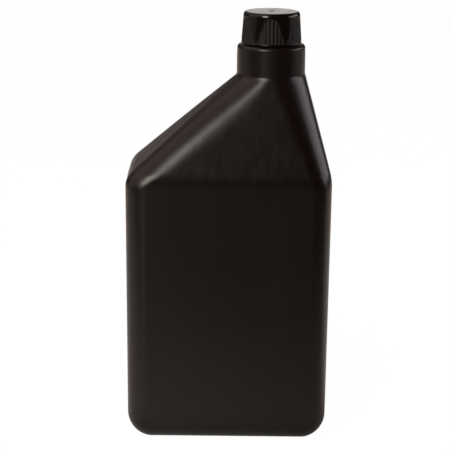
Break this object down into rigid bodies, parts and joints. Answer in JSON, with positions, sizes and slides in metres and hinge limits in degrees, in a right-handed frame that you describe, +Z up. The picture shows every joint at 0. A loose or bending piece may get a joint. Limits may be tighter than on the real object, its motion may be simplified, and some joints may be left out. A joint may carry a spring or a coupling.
{
  "type": "brake fluid bottle",
  "caption": "Black blow-moulded fluid bottle with an oblong body, a sloping shoulder and an offset neck, closed by a screw cap with ribbed arches that rises as it turns.",
  "frame": {"origin": "centre of the body on the surface that the bottle stands on", "axes": "+Z up, the broad front towards -Y, the neck offset towards +X"},
  "size_m": [0.105, 0.067, 0.22],
  "materials": {
    "bottle_plastic": "satin black polyethylene",
    "cap_plastic": "glossy black polypropylene",
    "liner_foam": "white foamed polyethylene"
  },
  "bodies": {
    "bottle": {"bottle": "bottle_plastic"},
    "liner": {"liner": "liner_foam"},
    "cap": {"cap": "cap_plastic"}
  },
  "joints": [
    {"name": "cap_rise", "type": "slide", "parent": "bottle", "child": "liner", "axis": [0, 0, 1], "range_m": [0, 0.008]},
    {"name": "cap_turn", "type": "hinge", "parent": "liner", "child": "cap", "pos_m": [0.021, 0, 0.2175], "axis": [0, 0, 1], "range_deg": [0, 720]}
  ],
  "couplings": [
    {"joint": "cap_rise", "follows": "cap_turn", "m_per_rad": 0.0006366}
  ]
}
